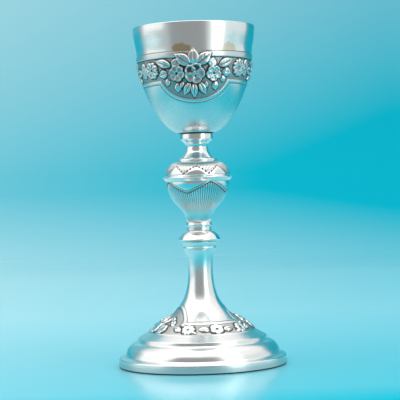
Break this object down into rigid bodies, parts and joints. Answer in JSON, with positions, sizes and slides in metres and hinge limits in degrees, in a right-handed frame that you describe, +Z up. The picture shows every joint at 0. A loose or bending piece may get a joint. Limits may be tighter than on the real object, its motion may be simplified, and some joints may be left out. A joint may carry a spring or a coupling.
{
  "type": "chalice",
  "caption": "Footed silver cup with an embossed flower garland round bowl and foot, a fluted and engraved knop on a turned stem, and a stepped round base.",
  "frame": {"origin": "centre of the base's underside, on the axis of the cup", "axes": "+Z up along the stem, -Y the front with the middle of one spray of flowers on the bowl, +X to the right seen from the front"},
  "size_m": [0.1292, 0.1292, 0.26],
  "materials": {
    "cup_silver": "polished silver with fine scratches, gilding worn to tan patches above the sleeve",
    "embossed_silver": "embossed silver, bright on the raised flowers and dark in the hollows",
    "turned_silver": "turned and polished silver",
    "engraved_silver": "fluted and engraved silver, dark in the cut lines",
    "foot_silver": "polished and embossed silver, worn on the edges"
  },
  "bodies": {
    "root": {"bowl": "cup_silver", "bowl_sleeve": "embossed_silver", "collar": "turned_silver", "knop": "engraved_silver", "stem_ring": "turned_silver", "foot": "foot_silver"}
  },
  "joints": []
}
